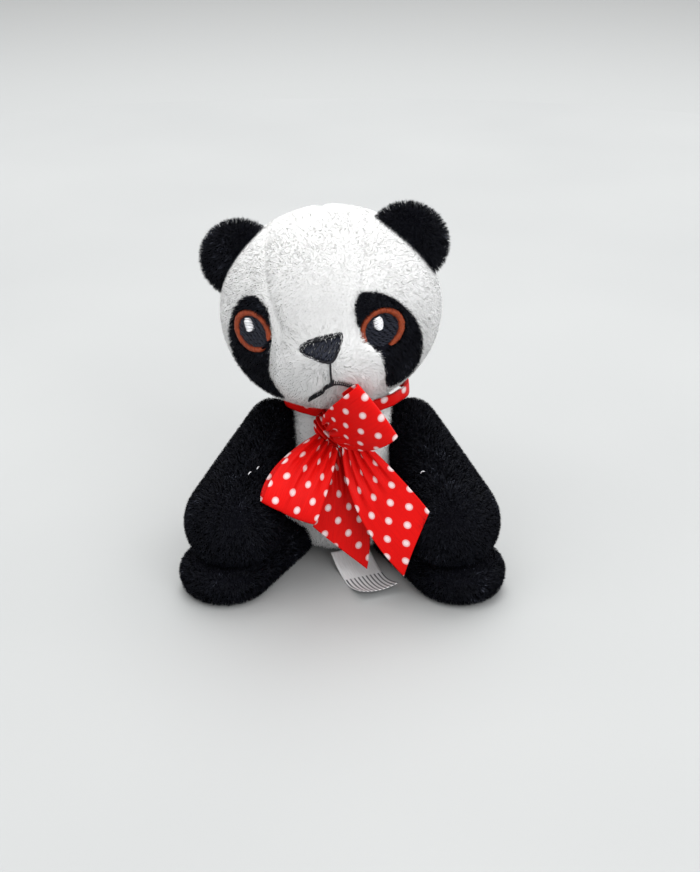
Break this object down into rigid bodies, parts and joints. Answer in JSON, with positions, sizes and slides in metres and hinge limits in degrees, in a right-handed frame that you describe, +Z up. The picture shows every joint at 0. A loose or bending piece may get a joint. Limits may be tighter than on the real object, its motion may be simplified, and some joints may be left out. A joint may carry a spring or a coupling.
{
  "type": "plush keychain",
  "caption": "Seated plush panda keychain with black limbs and ears, embroidered face, a dotted red satin bow and a key ring on a short chain.",
  "frame": {"origin": "middle of the flat seat under the torso, on the surface it sits on", "axes": "+X to the viewer's right when the face is seen, +Y from the face to the back, +Z up"},
  "size_m": [0.094, 0.0823, 0.1073],
  "materials": {
    "white_pile": "short soft pile",
    "black_pile": "short curly pile",
    "red_satin": "satin ribbon with pale dots",
    "filling": "loose fibre",
    "pellets": "matte",
    "label_satin": "satin",
    "brown_thread": "satin stitch",
    "dark_thread": "satin stitch",
    "white_thread": "satin stitch",
    "steel": "polished"
  },
  "bodies": {
    "torso": {"torso_cover_front": "white_pile", "torso_cover_back": "white_pile", "torso_stuffing": "filling", "pellet_pouch": "pellets", "neck_ribbon": "red_satin", "bow_knot": "red_satin", "bow_loop_left": "red_satin", "bow_loop_right": "red_satin"},
    "ribbon_tails": {"ribbon_tail_left": "red_satin", "ribbon_tail_right": "red_satin"},
    "label": {"care_label": "label_satin"},
    "neck_lower": {"neck_stuffing_lower": "filling"},
    "neck_upper": {"neck_stuffing_upper": "filling"},
    "head": {"head_gusset": "white_pile", "head_side_left": "white_pile", "head_side_right": "white_pile", "head_back_left": "white_pile", "head_back_right": "white_pile", "ear_left_front": "black_pile", "ear_left_back": "black_pile", "ear_right_front": "black_pile", "ear_right_back": "black_pile", "eye_patch_left": "black_pile", "eye_patch_right": "black_pile", "head_stuffing": "filling", "eye_ring_left": "brown_thread", "eye_ring_right": "brown_thread", "iris_left": "dark_thread", "iris_right": "dark_thread", "eye_highlight_left": "white_thread", "eye_highlight_right": "white_thread", "muzzle": "white_pile", "nose": "dark_thread", "mouth_stitch": "dark_thread", "nape_loop": "red_satin"},
    "arm_left": {"arm_cover_left": "black_pile", "arm_stuffing_left": "filling"},
    "leg_left": {"leg_cover_left": "black_pile", "leg_stuffing_left": "filling"},
    "arm_right": {"arm_cover_right": "black_pile", "arm_stuffing_right": "filling"},
    "leg_right": {"leg_cover_right": "black_pile", "leg_stuffing_right": "filling"},
    "link_1": {"chain_link_1": "steel"},
    "link_2": {"chain_link_2": "steel"},
    "link_3": {"chain_link_3": "steel"},
    "link_4": {"chain_link_4": "steel"},
    "key_ring": {"split_ring": "steel"}
  },
  "joints": [
    {"name": "neck_turn", "type": "hinge", "parent": "torso", "child": "neck_lower", "pos_m": [0, -0.001, 0.049], "axis": [0, 0, 1], "range_deg": [-12, 6], "stiffness_Nm_per_rad": 0.06},
    {"name": "neck_nod", "type": "hinge", "parent": "neck_lower", "child": "neck_upper", "pos_m": [0, -0.001, 0.049], "axis": [1, 0, 0], "range_deg": [-5, 1], "stiffness_Nm_per_rad": 0.15},
    {"name": "neck_tilt", "type": "hinge", "parent": "neck_upper", "child": "head", "pos_m": [0, -0.001, 0.049], "axis": [0, 1, 0], "range_deg": [-4, 4], "stiffness_Nm_per_rad": 0.15},
    {"name": "arm_swing_left", "type": "hinge", "parent": "torso", "child": "arm_left", "pos_m": [-0.0205, -0.004, 0.0375], "axis": [-0.3489, 0, -0.9371], "range_deg": [0, 30], "stiffness_Nm_per_rad": 0.01},
    {"name": "arm_swing_right", "type": "hinge", "parent": "torso", "child": "arm_right", "pos_m": [0.0205, -0.004, 0.0375], "axis": [-0.3489, 0, 0.9371], "range_deg": [0, 30], "stiffness_Nm_per_rad": 0.01},
    {"name": "leg_splay_left", "type": "hinge", "parent": "torso", "child": "leg_left", "pos_m": [-0.018, -0.013, 0.006], "axis": [0, 0, -1], "range_deg": [-6, 12], "stiffness_Nm_per_rad": 0.02},
    {"name": "leg_splay_right", "type": "hinge", "parent": "torso", "child": "leg_right", "pos_m": [0.018, -0.013, 0.006], "axis": [0, 0, 1], "range_deg": [-6, 12], "stiffness_Nm_per_rad": 0.02},
    {"name": "ribbon_tails_lift", "type": "hinge", "parent": "torso", "child": "ribbon_tails", "pos_m": [-0.0015, -0.0255, 0.041], "axis": [-1, 0, 0], "range_deg": [0, 10], "stiffness_Nm_per_rad": 0.002},
    {"name": "label_flip", "type": "hinge", "parent": "torso", "child": "label", "pos_m": [0.002, -0.0198, 0.0032], "axis": [-0.9272, -0.3746, 0], "range_deg": [0, 20], "stiffness_Nm_per_rad": 0.0005},
    {"name": "link_1_swing", "type": "hinge", "parent": "head", "child": "link_1", "pos_m": [0, 0.03, 0.06447], "axis": [1, 0, 0], "range_deg": [-2, 60]},
    {"name": "link_2_swing", "type": "hinge", "parent": "link_1", "child": "link_2", "pos_m": [0, 0.03, 0.06009], "axis": [0, 1, 0], "range_deg": [-30, 30]},
    {"name": "link_3_swing", "type": "hinge", "parent": "link_2", "child": "link_3", "pos_m": [0, 0.03, 0.05571], "axis": [1, 0, 0], "range_deg": [-2, 30]},
    {"name": "link_4_swing", "type": "hinge", "parent": "link_3", "child": "link_4", "pos_m": [0, 0.03, 0.05133], "axis": [0, 1, 0], "range_deg": [-30, 30]},
    {"name": "ring_swing", "type": "hinge", "parent": "link_4", "child": "key_ring", "pos_m": [0, 0.03, 0.04736], "axis": [1, 0, 0], "range_deg": [-2, 40]}
  ]
}
